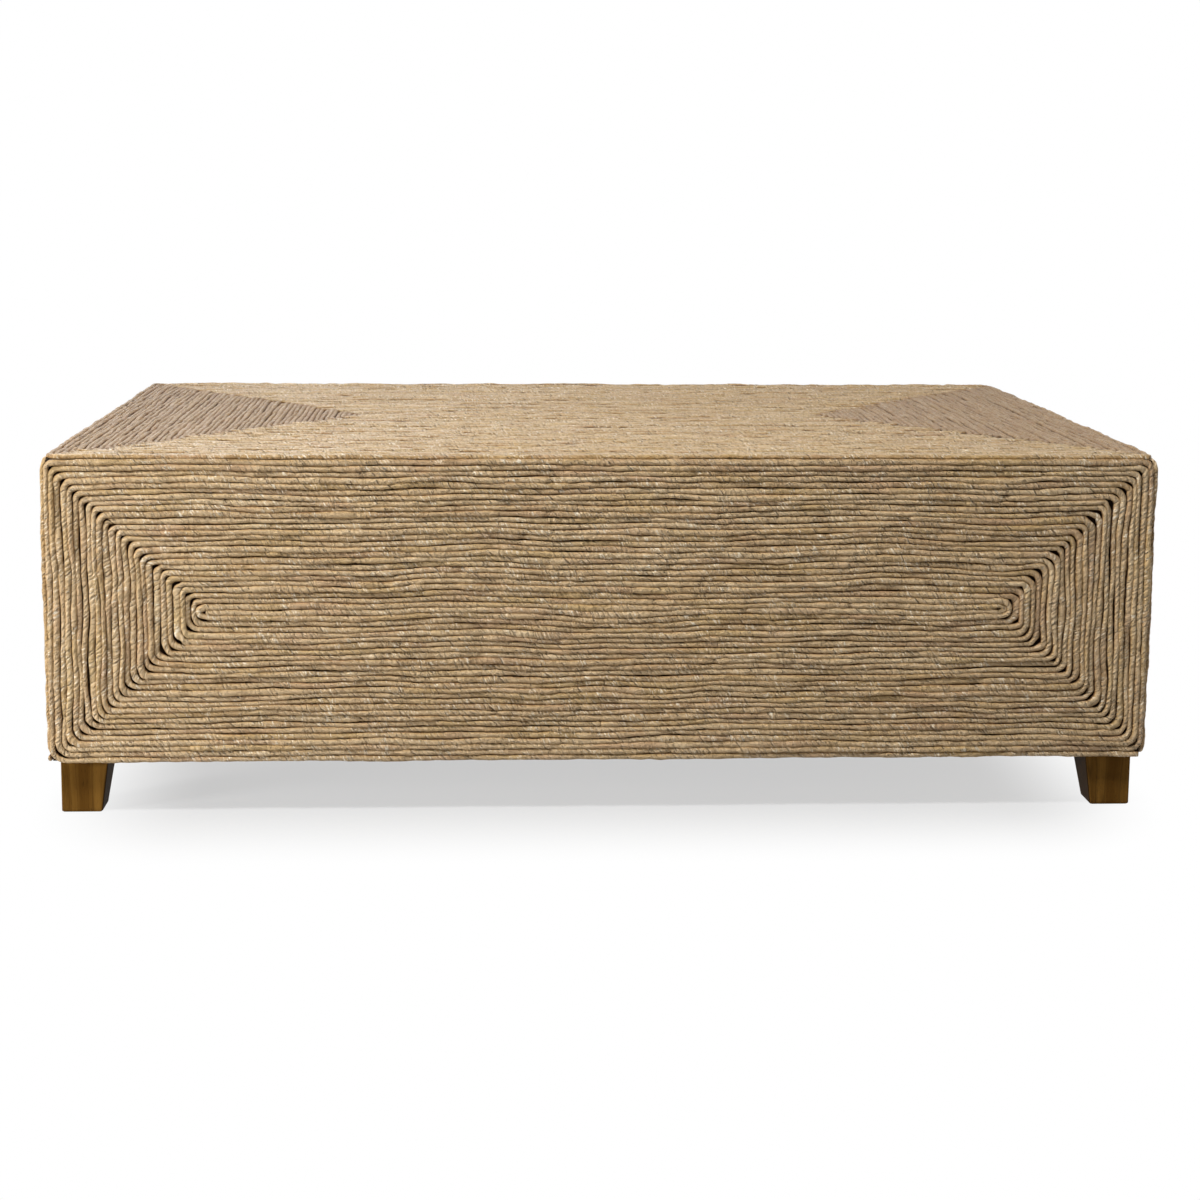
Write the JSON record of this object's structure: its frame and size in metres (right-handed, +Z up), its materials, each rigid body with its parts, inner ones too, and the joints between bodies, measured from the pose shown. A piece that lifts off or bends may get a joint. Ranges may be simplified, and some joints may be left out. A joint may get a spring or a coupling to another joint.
{
  "type": "rope-covered coffee table",
  "caption": "Low rectangular block table covered in natural leaf-fibre rope laid in rectangular spirals, on short tapered wooden corner feet.",
  "frame": {"origin": "centre of the footprint, on the floor under the feet", "axes": "+X along the length, to the right seen from the front; -Y is the front; +Z up"},
  "size_m": [1.37, 0.735, 0.45],
  "materials": {
    "rope": "dry, dull leaf-fibre rope with a faint silky sheen",
    "plywood": "sanded, unfinished",
    "frame_wood": "planed, unfinished",
    "foot_wood": "oiled, satin",
    "steel": "zinc plated"
  },
  "bodies": {
    "root": {"top_panel": "plywood", "front_panel": "plywood", "back_panel": "plywood", "left_panel": "plywood", "right_panel": "plywood", "post_front_left": "frame_wood", "post_front_right": "frame_wood", "post_back_left": "frame_wood", "post_back_right": "frame_wood", "rail_top_front": "frame_wood", "rail_top_back": "frame_wood", "rail_top_left": "frame_wood", "rail_top_right": "frame_wood", "rail_bottom_front": "frame_wood", "rail_bottom_back": "frame_wood", "rail_bottom_left": "frame_wood", "rail_bottom_right": "frame_wood", "stud_front_a": "frame_wood", "stud_front_b": "frame_wood", "stud_back_a": "frame_wood", "stud_back_b": "frame_wood", "batten_left": "frame_wood", "batten_middle": "frame_wood", "batten_right": "frame_wood", "stretcher_bottom": "frame_wood", "foot_front_left": "foot_wood", "foot_front_right": "foot_wood", "foot_back_left": "foot_wood", "foot_back_right": "foot_wood", "foot_bolt_front_left": "steel", "foot_bolt_front_right": "steel", "foot_bolt_back_left": "steel", "foot_bolt_back_right": "steel", "foot_insert_front_left": "steel", "foot_insert_front_right": "steel", "foot_insert_back_left": "steel", "foot_insert_back_right": "steel", "rope_top_outer": "rope", "rope_top_middle": "rope", "rope_top_inner": "rope", "rope_front_outer": "rope", "rope_front_inner": "rope", "rope_back_outer": "rope", "rope_back_inner": "rope", "rope_left_outer": "rope", "rope_left_inner": "rope", "rope_right_outer": "rope", "rope_right_inner": "rope"}
  },
  "joints": []
}
